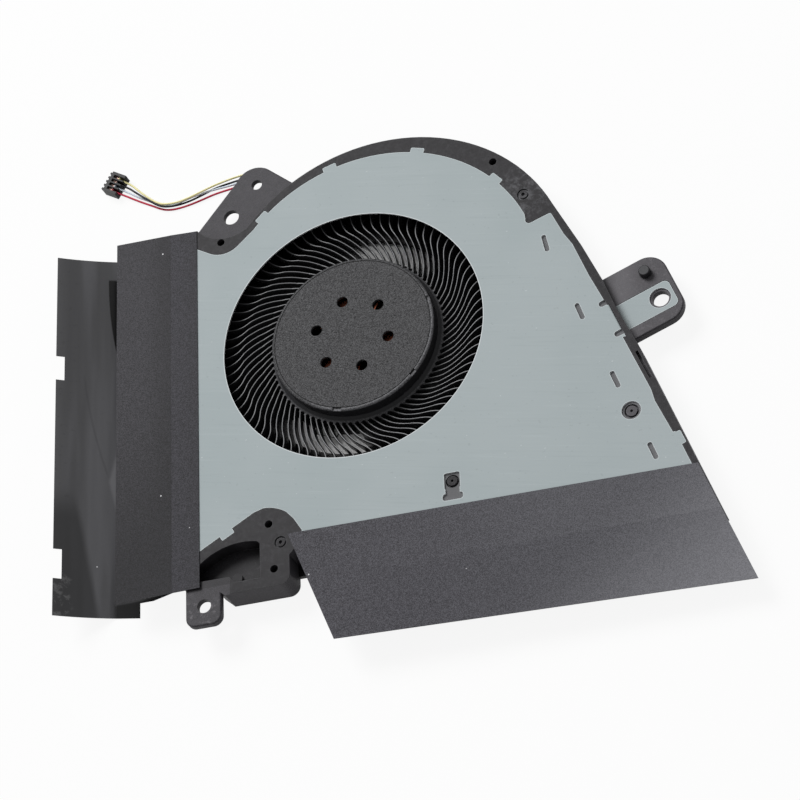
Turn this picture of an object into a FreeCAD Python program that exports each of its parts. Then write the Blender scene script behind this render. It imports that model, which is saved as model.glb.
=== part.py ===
import FreeCAD, Part
import math
import os

# Slim dual-outlet blower for a portable computer. Millimetres, +Z up.
# The origin is on the rotor axis, in the plane that the underside rests on.

# Heights of the housing
TOTAL_H = 7.0
FLOOR_T = 1.2
COVER_T = 0.4
COVER_GAP = 0.1

# Outer wall in plan
WALL_C = (8.0, 5.5)
WALL_R = 39.9
WALL_ARC_END = (44.8, 21.1)
WALL_BEND = (60.2, -15.3)
WALL_END = (73.9, -54.3)
WALL_SWELL = ((50.2, 9.9), (54.0, 0.9), (56.6, -6.8))
LEFT_X = -40.7
LEFT_TOP_Y = 33.1
LEFT_LOW_Y = -47.9
OUTLET_Y = -50.5
WALL_END_W = 5.4

# Air chamber in plan
VOLUTE_C = (5.5, 6.5)
VOLUTE_R = 34.4
LEDGE_W = 1.4
LAND_W = 9.6
CORE_W = 6.6
CORE_L = 8.4
CORE_TOP = 5.2
CORE_STEP = 10.0
BLOCK_X = -15.0
BLOCK_Y = -54.3
BLOCK_CORNER_R = 2.2

# Inlet in the cover and inlet windows in the floor
INLET_R = 28.5
WINDOW_R_OUT = 25.0
SPOKE_N = 4
SPOKE_W = 15.0
SPOKE_DEG = 110.0

# Lugs for the screws
UL_LUG_TOP = 4.2
UL_LUG_T = 1.3
UL_HOLE_A = (-27.5, 36.2)
UL_HOLE_A_R = 1.75
UL_HOLE_B = (-21.5, 43.1)
UL_HOLE_B_R = 1.2
LUG_EDGE_R = 0.35
LL_LUG_TOP = 6.6
LL_LUG_T = 1.5
LL_LUG_X = (-37.7, -30.0)
LL_LUG_Y = (-60.1, -50.2)
LL_HOLE = (-33.7, -55.9)
LL_HOLE_R = 1.5
R_LUG_TOP = 5.0
R_LUG_T = 1.8
R_LUG_ORIGIN = (56.0, -5.5)
R_LUG_DEG = 20.0
R_LUG_U = (-8.0, 8.35)
R_LUG_REACH = 13.0
R_LUG_CORNER = 4.2
PEG_UV = (-4.3, 8.6)
PEG_R = 1.2
PEG_H = 1.5
PEG_EDGE_R = 0.25
TONGUE_U = (-0.7, 5.7)
TONGUE_REACH = 11.9
WALL_V = -0.9
BEND_R = 0.3
TONGUE_HOLE_UV = (2.5, 8.85)
TONGUE_HOLE_R = 2.25
R_BORE_R = 1.75

# Block between the two outlets
POCKET_FLOOR = 3.2
BLOCK_BOTTOM = 0.5
POCKET_BOSS_R = 1.1
POCKET_BOSS_H = 0.5

# Details of the cover
TAB_W = 3.1
TAB_H = 1.1
SLOT_W = 1.0
SLOT_L = 4.1
POST_HOLE = (57.75, -30.0)
POST_HOLE_R = 2.0
POST_R = 1.15
KEY_X = 20.0
KEY_POST_Y = -38.2
KEY_POST_R = 1.05
PILLAR_W = 5.4
PILLAR_L = 9.0
RELIEF_R = 0.65
RELIEF_V = -2.1
COVER_SWELL = ((46.6, 13.6), (48.35, 10.6), (51.3, 2.5))
COVER_DENT = ((57.25, -13.2), (62.1, -26.1), (62.7, -28.9), (65.75, -36.45))
COVER_CORNER_R = 0.5

# Rotor
HUB_R = 17.8
HUB_TOP = 7.0
HUB_CAP_T = 0.7
HUB_WALL = 0.9
HUB_EDGE_R = 0.45
ROOT_W = 1.1
ROOT_R = HUB_R + ROOT_W
ROOT_TOP = 3.2
ROOT_RISE = 0.8
ROOT_SCALLOP = 0.45
BLADE_N = 83
BLADE_T = 0.22
BLADE_TIP_R = 32.0
BLADE_BOTTOM = 1.75
BLADE_TOP = 4.5
RISE_R = (ROOT_R + 2.6, 25.0)
BLADE_LEAN = (2.1, 0.06)
BLADE_BEND_R = 25.5
BLADE_FADE = 1.65
BLADE_START_DEG = 0.35
VENT_N = 6
VENT_R = 1.25
VENT_PCD_R = 8.15
VENT_DEG = 43.5
BOSS_R = 2.6
YOKE_T = 0.5
YOKE_H = 4.2
MAGNET_T = 1.5
MAGNET_H = 2.6
AIR_GAP = 0.35
SHAFT_R = 1.0
SHAFT_CLEARANCE = 0.03
SHAFT_CAP = 0.3
SHAFT_GROOVE_R = 0.8
END_FLOAT = 0.02

# Stator and bearing
STATOR_N = 9
STATOR_Z = (2.7, 4.1)
TOOTH_W = 1.6
YOKE_RING_R = 5.2
SHOE_T = 0.9
SHOE_HALF_DEG = 15.5
COIL_T = 0.75
COIL_START = 1.0
COIL_CLEARANCE = 1.25
TUBE_R = 3.4
TUBE_T = 0.7
TUBE_BASE = 0.35
TUBE_TOP = 5.0
SEAT_R = 4.3
SLEEVE_Z = (1.15, 4.8)
THRUST_T = 0.35
WASHER_T = 0.1
WASHER_PLAY = 0.06
BOARD_T = 0.4
BOARD_MARGIN = 1.6
BOARD_R = HUB_R + BOARD_MARGIN
BOARD_CLEARANCE = 0.1
TAIL_L = 2.0
TAIL_W = 5.2
TAIL_DEG = 247.0
CHIP_R = HUB_R - 2.6
WINDOW_MARGIN = 0.6
WINDOW_R_IN = BOARD_R + WINDOW_MARGIN

# Insulating films
FILM_T = 0.2
FILM_LEFT = ((-53.2, -52.1), (-34.4, -51.9), (-34.4, 32.6), (-53.2, 33.6))
FILM_LEFT_DROP = 0.6
SKIRT_Y = (-52.0, 33.5)
SKIRT_HEEL = 5.4
SKIRT_CORNER = (-50.4, -52.9)
SKIRT_CUT_Y = -49.5
SKIRT_FLAT_X = -55.8
SKIRT_EDGE_X = -67.2
SKIRT_EDGE_Z = 6.8
SKIRT_SAG = 0.25
SKIRT_NOTCH = 1.6
FILM_BOTTOM = ((-15.2, -43.4), (70.2, -44.2), (79.3, -69.7), (-6.0, -68.2))
FILM_DROOP = 2.3
FILM_FOLD_Y = WALL_END[1] - 0.3

# Leads and plug
WIRE_R = 0.225
WIRE_PITCH = 0.66
WIRE_Z = 0.38
GROOVE_CLEARANCE = 0.09
PAD_R = HUB_R - 2.0
GROOVE_END_R = WINDOW_R_IN - 1.0
PLUG_PITCH = 1.0
PLUG_SIZE = (5.0, 3.6, 2.2)
PLUG_TOOTH = 0.6
PLUG_FLOOR = 0.45
PLUG_AT = (-54.4, 52.0)
PLUG_DEG = 148.0
TERMINAL_T = 0.1
PLUG_ENTRY_Z = PLUG_FLOOR + TERMINAL_T + WIRE_R
LEAD_IN = 1.5
CHANNEL_W = 0.66

V = FreeCAD.Vector
Z_AXIS = V(0, 0, 1)
ORIGIN = V(0, 0, 0)


def outline(start, *steps):
    """Closed face in plan from points; a step of four numbers is an arc (via point, end point)."""
    edges = []
    here = V(start[0], start[1], 0)
    for step in steps + (start,):
        end = V(step[-2], step[-1], 0)
        if (end - here).Length < 1e-6:
            continue
        if len(step) == 4:
            edges.append(Part.Arc(here, V(step[0], step[1], 0), end).toShape())
        else:
            edges.append(Part.makeLine(here, end))
        here = end
    return Part.Face(Part.Wire(edges))


def prism(face, z0, z1):
    solid = face.extrude(V(0, 0, z1 - z0))
    solid.translate(V(0, 0, z0))
    return solid


def disc(r, z0, z1, at=(0, 0)):
    return Part.makeCylinder(r, z1 - z0, V(at[0], at[1], z0))


def ring(r_out, r_in, z0, z1, at=(0, 0)):
    return disc(r_out, z0, z1, at).cut(disc(r_in, z0 - 1, z1 + 1, at))


def slab(x0, x1, y0, y1, z0, z1):
    return Part.makeBox(x1 - x0, y1 - y0, z1 - z0, V(x0, y0, z0))


def rounded_slab(x0, x1, y0, y1, z0, z1, r):
    solid = slab(x0, x1, y0, y1, z0, z1)
    return solid.makeFillet(r, upright_edges(solid))


def upright_edges(solid):
    def is_upright(edge):
        ends = edge.Vertexes
        return len(ends) == 2 and math.hypot(ends[0].X - ends[1].X, ends[0].Y - ends[1].Y) < 1e-6
    return [e for e in solid.Edges if is_upright(e)]


def place(solid, at, deg):
    """A solid drawn at the origin, turned about Z and moved to a point in plan."""
    solid = solid.copy()
    solid.rotate(ORIGIN, Z_AXIS, deg)
    solid.translate(V(at[0], at[1], 0))
    return solid


def polar(centre, r, deg):
    a = math.radians(deg)
    return (centre[0] + r * math.cos(a), centre[1] + r * math.sin(a))


def beside(a, b, distance):
    """The segment a-b moved sideways, to the left of its direction for a positive distance."""
    length = math.hypot(b[0] - a[0], b[1] - a[1])
    nx = -(b[1] - a[1]) / length * distance
    ny = (b[0] - a[0]) / length * distance
    return (a[0] + nx, a[1] + ny), (b[0] + nx, b[1] + ny)


def meet(p, q, r, s):
    """Where the line p-q crosses the line r-s."""
    d1 = (q[0] - p[0], q[1] - p[1])
    d2 = (s[0] - r[0], s[1] - r[1])
    t = ((r[0] - p[0]) * d2[1] - (r[1] - p[1]) * d2[0]) / (d1[0] * d2[1] - d1[1] * d2[0])
    return (p[0] + t * d1[0], p[1] + t * d1[1])


def right_edge(inset):
    """The three points of the right-hand wall line, moved inwards."""
    a, b = beside(WALL_ARC_END, WALL_BEND, -inset)
    c, d = beside(WALL_BEND, WALL_END, -inset)
    return a, meet(a, b, c, d), d


def on_line_at_y(p, q, y):
    return (p[0] + (q[0] - p[0]) * (y - p[1]) / (q[1] - p[1]), y)


def housing_outline():
    return outline(
        (LEFT_X, LEFT_TOP_Y),
        (-34.3, 32.7),
        (-28.2, 29.5, -22.8, 31.0),
        (WALL_C[0], WALL_C[1] + WALL_R, *WALL_ARC_END),
        *WALL_SWELL,
        WALL_BEND,
        WALL_END,
        (WALL_END[0] - WALL_END_W, WALL_END[1]),
        (WALL_END[0] - WALL_END_W, OUTLET_Y),
        (LL_LUG_X[0], OUTLET_Y),
        (LL_LUG_X[0], LEFT_LOW_Y),
        (LEFT_X, LEFT_LOW_Y))


def chamber_outline():
    """Air chamber seen from above, run out past the two outlets."""
    beyond = 5.0
    top, bend, end = right_edge(LAND_W)
    away = (end[0] + (end[0] - bend[0]) * 0.2, end[1] + (end[1] - bend[1]) * 0.2)
    corner = on_line_at_y(bend, away, OUTLET_Y - beyond)
    foot = meet(top, bend, VOLUTE_C, (VOLUTE_C[0] + bend[1] - top[1], VOLUTE_C[1] - bend[0] + top[0]))
    gap = math.hypot(foot[0] - VOLUTE_C[0], foot[1] - VOLUTE_C[1])
    run = math.sqrt(VOLUTE_R ** 2 - gap ** 2)
    length = math.hypot(bend[0] - top[0], bend[1] - top[1])
    entry = (foot[0] - (bend[0] - top[0]) / length * run, foot[1] - (bend[1] - top[1]) / length * run)
    volute_start = polar(VOLUTE_C, VOLUTE_R, 144.2)
    return outline(
        (LEFT_X - beyond, 27.1),
        (-34.0, 26.3),
        (-28.6, 24.1, *volute_start),
        (*polar(VOLUTE_C, VOLUTE_R, 90), *entry),
        bend,
        corner,
        (BLOCK_X, OUTLET_Y - beyond),
        (BLOCK_X, -48.0),
        (-12.0, -45.0),
        (-12.0, -41.5),
        (-14.2, -37.3),
        (-18.0, -35.3, -22.6, -35.8),
        (-28.0, -38.8),
        (-35.0, -42.4),
        (LEFT_X - beyond, -47.6))


def cover_edge(grow=0.0):
    """Plan of the cover plate; grow widens it for the recess that it lies in."""
    r = VOLUTE_R + LEDGE_W + grow
    inset = 1.3 - grow
    top, bend, end = right_edge(inset)
    shoulder = on_line_at_y(top, bend, 19.2 + grow)
    bottom = on_line_at_y(bend, end, OUTLET_Y - grow)
    swell = [(x + grow, y) for x, y in COVER_SWELL]
    dent = [(x + grow, y) for x, y in COVER_DENT]
    face = outline(
        (LEFT_X - grow, 28.6 + grow),
        (-34.3, 28.1 + grow),
        (-31.8, 26.6 + grow),
        (-28.6, 25.6 + grow, -25.0, 27.0 + grow),
        polar(VOLUTE_C, r, 138.8),
        (*polar(VOLUTE_C, r, 90), *polar(VOLUTE_C, r, 22.5)),
        (38.75 + grow, 18.9 + grow),
        (38.95 + grow, 17.95 + grow, 39.9, 17.75 + grow),
        shoulder,
        *swell,
        on_line_at_y(top, bend, dent[0][1]),
        *dent,
        on_line_at_y(bend, end, dent[-1][1]),
        bottom,
        (-12.2, OUTLET_Y - grow),
        (-12.2 - grow, -43.0),
        (-14.0 - grow, -40.0),
        (-15.5, -38.3 - grow),
        (-18.0, -37.0 - grow, -20.4, -36.6 - grow),
        (-22.5, -37.2 - grow),
        (-34.5, -43.8 - grow),
        (LEFT_X - grow, -47.0 - grow))
    plate = prism(face, 0, 1)
    corner = [e for e in upright_edges(plate) if (e.CenterOfMass - V(*shoulder, 0.5)).Length < 0.01]
    plate = plate.makeFillet(COVER_CORNER_R, corner)
    for deg in (133.5, 104.8, 73.1, 40.8):
        tab = rounded_slab(-1.0, TAB_H + grow, -TAB_W / 2 - grow, TAB_W / 2 + grow, 0, 1, 0.3)
        plate = plate.fuse(place(tab, polar(VOLUTE_C, r - grow, deg), deg))
    tab = rounded_slab(-1.0, TAB_H + grow, -TAB_W / 2 - grow, TAB_W / 2 + grow, 0, 1, 0.3)
    plate = plate.fuse(place(tab, (66.7, -38.1), 20.5))
    plate = plate.fuse(place(tab, (-28.6, -40.6), -61.0))
    return plate.removeSplitter()


def plate_between(plate, z0, z1):
    """A plan plate of unit height, stretched to lie between two heights."""
    faces = [f for f in plate.Faces if f.normalAt(0, 0).z < -0.99 and abs(f.CenterOfMass.z) < 1e-6]
    return prism(faces[0], z0, z1)


def lug_frame(u, v):
    """Plan point of the right lug: u runs along the wall, v outwards."""
    a = math.radians(R_LUG_DEG)
    return (R_LUG_ORIGIN[0] + v * math.cos(a) + u * math.sin(a),
            R_LUG_ORIGIN[1] + v * math.sin(a) - u * math.cos(a))


def lug_slab(u0, u1, v0, v1, z0, z1, r):
    """Slab in the right lug's frame, with its outer corners rounded."""
    solid = slab(v0, v1, -u1, -u0, z0, z1)
    if r > 0:
        outer = [e for e in upright_edges(solid) if e.CenterOfMass.x > v1 - 1e-6]
        solid = solid.makeFillet(r, outer)
    return place(solid, R_LUG_ORIGIN, R_LUG_DEG)


def soften_top(solid, z, keep_from_y=1e9):
    """Rounds the edges around a lug's top face, but not those at or beyond a plan line."""
    edges = [e for e in solid.Edges
             if abs(e.BoundBox.ZMin - z) < 1e-4 and abs(e.BoundBox.ZMax - z) < 1e-4
             and e.BoundBox.YMin < keep_from_y]
    return solid.makeFillet(LUG_EDGE_R, edges)


def upper_left_lug():
    z0 = UL_LUG_TOP - UL_LUG_T
    face = outline((-35.2, 34.3), (-26.3, 44.8), (-22.6, 47.6, -18.5, 46.3), (-11.7, 40.4),
                   (-12.5, 38.5), (-22.0, 30.0), (-28.5, 28.6), (-34.5, 31.0))
    lug = soften_top(prism(face, z0, UL_LUG_TOP), UL_LUG_TOP)
    lug = lug.cut(disc(UL_HOLE_A_R, z0 - 1, TOTAL_H + 1, UL_HOLE_A))
    return lug.cut(disc(UL_HOLE_B_R, z0 - 1, TOTAL_H + 1, UL_HOLE_B))


def lower_left_lug():
    z0 = LL_LUG_TOP - LL_LUG_T
    lug = slab(LL_LUG_X[0], LL_LUG_X[1], LL_LUG_Y[0], LL_LUG_Y[1], z0, LL_LUG_TOP)
    low = [e for e in upright_edges(lug) if e.CenterOfMass.y < LL_LUG_Y[0] + 1e-6]
    lug = soften_top(lug.makeFillet(2.0, low), LL_LUG_TOP, LL_LUG_Y[1] - 0.01)
    bridge = slab(LL_LUG_X[0], -27.5, -51.8, LL_LUG_Y[1] + 0.5, z0, LL_LUG_TOP)
    return lug.fuse(bridge).cut(disc(LL_HOLE_R, z0 - 1, TOTAL_H + 1, LL_HOLE))


def right_lug():
    z0 = R_LUG_TOP - R_LUG_T
    lug = lug_slab(*R_LUG_U, -3.0, R_LUG_REACH, z0, R_LUG_TOP, R_LUG_CORNER)
    lug = soften_top(lug, R_LUG_TOP)
    peg = disc(PEG_R, z0, R_LUG_TOP + PEG_H, lug_frame(*PEG_UV))
    top = [e for e in peg.Edges if e.CenterOfMass.z > R_LUG_TOP + PEG_H - 1e-6]
    lug = lug.fuse(peg.makeFillet(PEG_EDGE_R, top))
    return lug.cut(disc(R_BORE_R, z0 - 1, TOTAL_H + 1, lug_frame(*TONGUE_HOLE_UV)))


def block_between_outlets():
    """Corner block with its open pocket and slanted foot."""
    inner_y = OUTLET_Y + 2.0
    face = outline((-31.3, inner_y), (-31.3, BLOCK_Y + 1.9), (-29.2, BLOCK_Y),
                   (BLOCK_X - BLOCK_CORNER_R, BLOCK_Y),
                   (BLOCK_X - 0.29 * BLOCK_CORNER_R, BLOCK_Y + 0.29 * BLOCK_CORNER_R,
                    BLOCK_X, BLOCK_Y + BLOCK_CORNER_R),
                   (BLOCK_X, inner_y))
    return prism(face, BLOCK_BOTTOM, TOTAL_H)


def step_above_lug():
    return slab(LEFT_X - 1, -28.0, BLOCK_Y - 1, LL_LUG_Y[1] - 0.1, LL_LUG_TOP, TOTAL_H + 1)


def pocket():
    return prism(outline((-38.0, -48.3), (-34.2, -46.5), (-27.5, -43.5, -21.9, -43.7),
                         (-21.3, -44.3), (-21.3, -52.0), (-27.0, -52.0), (-28.2, -50.4),
                         (-38.0, -50.4)), POCKET_FLOOR, TOTAL_H + 1)


def floor_windows():
    """Arc-shaped inlet windows around the motor base, parted by spokes."""
    windows = ring(WINDOW_R_OUT, WINDOW_R_IN, -1, FLOOR_T + 1)
    for k in range(SPOKE_N):
        spoke = slab(0, WINDOW_R_OUT + 2, -SPOKE_W / 2, SPOKE_W / 2, -2, FLOOR_T + 2)
        windows = windows.cut(place(spoke, (0, 0), SPOKE_DEG + k * 360.0 / SPOKE_N))
    return windows


def lead_groove():
    """Groove in the underside that the leads lie in, from the board to the wall."""
    reach = math.hypot(*UL_HOLE_B)
    half = 1.5 * WIRE_PITCH * 1.05 + WIRE_R + GROOVE_CLEARANCE
    top = WIRE_Z + WIRE_R + GROOVE_CLEARANCE
    groove = slab(PAD_R - 0.6, reach, -half, half, -1, top)
    window = slab(PAD_R - 0.6, GROOVE_END_R, -half, half, -1, FLOOR_T + 1)
    return place(groove.fuse(window), (0, 0), SPOKE_DEG)


def cores_in_land():
    """Blind pockets under the thick land beside the right wall, evenly spaced along it."""
    cores = []
    top, bend, end = right_edge(LAND_W / 2 + 0.4)
    for a, b, first, count in ((top, bend, 8.0, 3), (bend, end, 4.0, 4)):
        deg = math.degrees(math.atan2(b[1] - a[1], b[0] - a[0]))
        for k in range(count):
            at = polar(a, first + k * CORE_STEP, deg)
            core = rounded_slab(-CORE_L / 2, CORE_L / 2, -CORE_W / 2, CORE_W / 2, -1, CORE_TOP, 0.8)
            cores.append(place(core, at, deg))
    return cores


def marks_in_top():
    """Blind holes and ring marks in the top of the wall."""
    cuts = []
    for x, y in ((-28.9, 28.6), (32.5, 34.4), (-19.3, -40.4), (-18.3, -50.6)):
        cuts.append(disc(0.85, TOTAL_H - 3.0, TOTAL_H + 1, (x, y)))
    for at in ((38.6, 24.9), (-16.8, -44.9)):
        cuts.append(ring(1.3, 0.95, TOTAL_H - 0.35, TOTAL_H + 1, at))
        cuts.append(disc(0.4, TOTAL_H - 0.5, TOTAL_H + 1, at))
    under = TOTAL_H - COVER_T
    for at, post in ((POST_HOLE, POST_R), ((KEY_X, KEY_POST_Y), KEY_POST_R)):
        cuts.append(ring(post + 0.35, post, under - 0.6, under + 1, at))
        cuts.append(disc(0.3, under - 0.3, TOTAL_H + 1, at))
    edge = beside((59.8, -17.0), (62.3, -23.6), 0.3)
    other = beside((59.8, -17.0), (62.3, -23.6), -0.3)
    cuts.append(prism(outline(edge[0], edge[1], other[1], other[0]), TOTAL_H - 1.5, TOTAL_H + 1))
    return cuts


def pillar():
    """Streamlined stay in the bottom outlet, with the post that stands in the cover's keyhole."""
    half = PILLAR_W / 2
    y0 = KEY_POST_Y - 6.2
    y1 = y0 + PILLAR_L
    face = outline((KEY_X - half, y0), (KEY_X, y0 - 0.9, KEY_X + half, y0),
                   (KEY_X + half, y1), (KEY_X, y1 + half, KEY_X - half, y1))
    under = TOTAL_H - COVER_T
    stay = prism(face, FLOOR_T - 0.2, under)
    return stay.fuse(disc(KEY_POST_R, under - 0.5, TOTAL_H - 0.1, (KEY_X, KEY_POST_Y)))


def make_housing():
    under = TOTAL_H - COVER_T
    body = prism(housing_outline(), 0, TOTAL_H).fuse(block_between_outlets())
    body = body.cut(prism(chamber_outline(), FLOOR_T, TOTAL_H + 1))
    body = body.cut(plate_between(cover_edge(COVER_GAP), under, TOTAL_H + 1))
    for lug in (upper_left_lug(), lower_left_lug(), right_lug()):
        body = body.fuse(lug)
    body = body.fuse(pillar())
    body = body.fuse(disc(POST_R, under - 1.0, TOTAL_H - 0.3, POST_HOLE))
    body = body.cut(pocket())
    boss = disc(POCKET_BOSS_R, POCKET_FLOOR - 0.5, POCKET_FLOOR + POCKET_BOSS_H, (-27.5, -49.7))
    body = body.fuse(boss)
    body = body.cut(step_above_lug())
    body = body.cut(chamber_clear_of_lugs())
    body = body.fuse(disc(SEAT_R, FLOOR_T - 0.2, STATOR_Z[0]))
    for tool in marks_in_top() + cores_in_land():
        body = body.cut(tool)
    body = body.cut(floor_windows()).cut(lead_groove())
    body = body.cut(disc(TUBE_R, -1, STATOR_Z[0] + 1))
    body = body.cut(tongue(COVER_GAP))
    seat_end = LEFT_X + SKIRT_HEEL + 0.2
    skirt_seat = slab(LEFT_X - 1, seat_end, LEFT_LOW_Y - 0.2, SKIRT_Y[1] + 1, -1, FILM_T)
    return body.cut(skirt_seat).removeSplitter()


def chamber_clear_of_lugs():
    """What the lugs' roots would fill of the chamber is taken out again."""
    return prism(chamber_outline(), FLOOR_T + 0.01, TOTAL_H - COVER_T - 0.01).cut(
        slab(KEY_X - 5, KEY_X + 5, -50, -30, 0, TOTAL_H))


def tongue(grow=0.0):
    """Strip that leaves the cover, steps down through the wall and lies on the right lug."""
    top = R_LUG_TOP + (1.0 if grow else 0.0)
    low = R_LUG_TOP - COVER_T
    u0, u1 = TONGUE_U[0] - grow, TONGUE_U[1] + grow
    strip = lug_slab(u0, u1, WALL_V - COVER_T, TONGUE_REACH + grow, low, R_LUG_TOP + grow, 1.2)
    riser = lug_slab(u0, u1, WALL_V - COVER_T - grow, WALL_V + grow, low, TOTAL_H + grow, 0)
    if grow:
        over_lug = lug_slab(u0, u1, 1.6, TONGUE_REACH + grow, low, top, 1.2)
        return strip.fuse(riser).fuse(over_lug)
    return strip.fuse(riser)


def cover_slots():
    cuts = []
    slots = ((42.65, 12.1, -79.5), (48.8, -5.4, -72.5), (55.0, -22.45, -71.1), (61.4, -39.75, -71.1))
    for x, y, deg in slots:
        slot = rounded_slab(-SLOT_L / 2, SLOT_L / 2, -SLOT_W / 2, SLOT_W / 2, 0, 9, SLOT_W * 0.45)
        cuts.append(place(slot, (x, y), deg))
    cuts.append(disc(POST_HOLE_R, 0, 9, POST_HOLE))
    head = rounded_slab(-1.65, 1.65, -1.8, 1.8, 0, 9, 0.4)
    foot = rounded_slab(-2.15, 2.15, -0.75, 0.75, 0, 9, 0.6)
    cuts.append(place(head, (KEY_X, KEY_POST_Y), 0))
    cuts.append(place(slab(-1.5, 1.5, -1.0, 1.0, 0, 9), (KEY_X, KEY_POST_Y - 2.2), 0))
    cuts.append(place(foot, (KEY_X, KEY_POST_Y - 3.5), 0))
    for u in (TONGUE_U[0] - RELIEF_R - 0.2, TONGUE_U[1] + RELIEF_R + 0.1):
        cuts.append(disc(RELIEF_R, 0, 9, lug_frame(u, RELIEF_V)))
        nick = slab(RELIEF_V, 1.0, -RELIEF_R, RELIEF_R, 0, 9)
        cuts.append(place(nick, lug_frame(u, 0), R_LUG_DEG))
    return cuts


def make_cover():
    under = TOTAL_H - COVER_T
    cover = plate_between(cover_edge(), under, TOTAL_H)
    past_riser = lug_slab(TONGUE_U[0] - 0.1, TONGUE_U[1] + 0.1, WALL_V, 3.0, under - 0.1, TOTAL_H + 1, 0)
    cover = cover.cut(past_riser)
    cover = cover.cut(disc(INLET_R, 0, TOTAL_H + 1))
    for tool in cover_slots():
        cover = cover.cut(tool)
    strip = tongue().cut(disc(TONGUE_HOLE_R, 0, 9, lug_frame(*TONGUE_HOLE_UV)))
    cover = cover.fuse(strip).removeSplitter()
    middle = lug_frame((TONGUE_U[0] + TONGUE_U[1]) / 2, WALL_V)
    bend = [e for e in cover.Edges if (e.CenterOfMass - V(*middle, TOTAL_H)).Length < 0.4
            and abs(e.BoundBox.ZMin - TOTAL_H) < 1e-4 and abs(e.BoundBox.ZMax - TOTAL_H) < 1e-4]
    return cover.makeFillet(BEND_R, bend)


def blade_point(r, deg, side):
    """Point beside the blade's centre line; the slope is that of the S-curve's own formula."""
    step = 0.05
    x0, y0 = polar((0, 0), r - step, blade_angle(r - step))
    x1, y1 = polar((0, 0), r + step, blade_angle(r + step))
    length = math.hypot(x1 - x0, y1 - y0)
    x, y = polar((0, 0), r, deg)
    half = side * BLADE_T / 2
    return V(x - (y1 - y0) / length * half, y + (x1 - x0) / length * half, 0)


def blade_angle(r):
    """Sweep of the S-shaped blade in degrees: leaning at the hub, then bending back to radial."""
    first, second = BLADE_LEAN
    inner = min(r, BLADE_BEND_R) - ROOT_R
    lean = first * inner + second * inner ** 2
    if r <= BLADE_BEND_R:
        return lean + BLADE_START_DEG
    rate = first + 2 * second * inner
    return lean + BLADE_START_DEG + rate * BLADE_FADE * (1 - math.exp(-(r - BLADE_BEND_R) / BLADE_FADE))


def one_blade():
    bend = BLADE_BEND_R
    radii = (ROOT_R - 0.5, (ROOT_R + bend) / 2, bend - 1.6, bend, bend + 0.9, bend + 2.2,
             (bend + 2.2 + BLADE_TIP_R) / 2, BLADE_TIP_R)
    sides = []
    for side in (1, -1):
        curve = Part.BSplineCurve()
        curve.interpolate([blade_point(r, blade_angle(r), side) for r in radii])
        sides.append(curve.toShape())
    starts = [s.Vertexes[0].Point for s in sides]
    ends = [s.Vertexes[-1].Point for s in sides]
    face = Part.Face(Part.Wire([sides[0], Part.makeLine(ends[0], ends[1]), sides[1],
                                Part.makeLine(starts[1], starts[0])]))
    blade = prism(face, BLADE_BOTTOM, BLADE_TOP)
    above = Part.Face(Part.makePolygon([V(10, 0, ROOT_TOP), V(RISE_R[0], 0, ROOT_TOP),
                                        V(RISE_R[1], 0, BLADE_TOP), V(RISE_R[1], 0, BLADE_TOP + 1),
                                        V(10, 0, BLADE_TOP + 1), V(10, 0, ROOT_TOP)]))
    return blade.cut(above.revolve(ORIGIN, Z_AXIS, 360))


def root_scallops():
    """Rounded inner ends of the gaps between the blades."""
    at_r = ROOT_R + ROOT_SCALLOP
    radius = (math.pi * at_r / BLADE_N) - BLADE_T / 2 - 0.03
    step = 360.0 / BLADE_N
    start = blade_angle(at_r - radius / 2) + step / 2
    holes = []
    for k in range(BLADE_N):
        holes.append(disc(radius, BLADE_BOTTOM - 1, ROOT_TOP + 1, polar((0, 0), at_r, start + k * step)))
    return Part.makeCompound(holes)


def make_impeller():
    under = HUB_TOP - HUB_CAP_T
    hub = disc(HUB_R, BLADE_BOTTOM, HUB_TOP)
    top_edge = [e for e in hub.Edges if e.CenterOfMass.z > HUB_TOP - 1e-6 and len(e.Vertexes) == 1]
    hub = hub.makeFillet(HUB_EDGE_R, top_edge)
    root = Part.Face(Part.makePolygon([V(5, 0, BLADE_BOTTOM), V(ROOT_R, 0, BLADE_BOTTOM),
                                       V(ROOT_R, 0, ROOT_TOP), V(HUB_R, 0, ROOT_TOP + ROOT_RISE),
                                       V(5, 0, ROOT_TOP + ROOT_RISE), V(5, 0, BLADE_BOTTOM)]))
    hub = hub.fuse(root.revolve(ORIGIN, Z_AXIS, 360))
    hub = hub.fuse(ring(ROOT_R + ROOT_SCALLOP, ROOT_R - 0.5, BLADE_BOTTOM, ROOT_TOP))
    hub = hub.cut(disc(HUB_R - HUB_WALL, 0, under))
    hub = hub.fuse(disc(BOSS_R, TUBE_TOP + 0.3, under + 0.1))
    hub = hub.cut(disc(SHAFT_R, 0, HUB_TOP - SHAFT_CAP))
    hub = hub.cut(ring(HUB_R - 0.6, HUB_R - 0.75, HUB_TOP - 0.12, HUB_TOP + 1))
    for k in range(VENT_N):
        at = polar((0, 0), VENT_PCD_R, VENT_DEG + k * 360.0 / VENT_N)
        hub = hub.cut(disc(VENT_R, under - 1, HUB_TOP + 1, at))
    for deg, width in ((-42.9, 1.5), (257.0, 1.9), (16.0, 1.2)):
        notch = slab(HUB_R - 0.65, HUB_R + 1, -width / 2, width / 2, HUB_TOP - 0.35, HUB_TOP + 1)
        hub = hub.cut(place(notch, (0, 0), deg))
    hub = hub.cut(root_scallops())
    blade = one_blade()
    blades = [place(blade, (0, 0), k * 360.0 / BLADE_N) for k in range(BLADE_N)]
    return hub.multiFuse(blades).removeSplitter()


def make_rotor_yoke():
    r = HUB_R - HUB_WALL
    top = HUB_TOP - HUB_CAP_T
    return ring(r, r - YOKE_T, top - YOKE_H, top)


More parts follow.
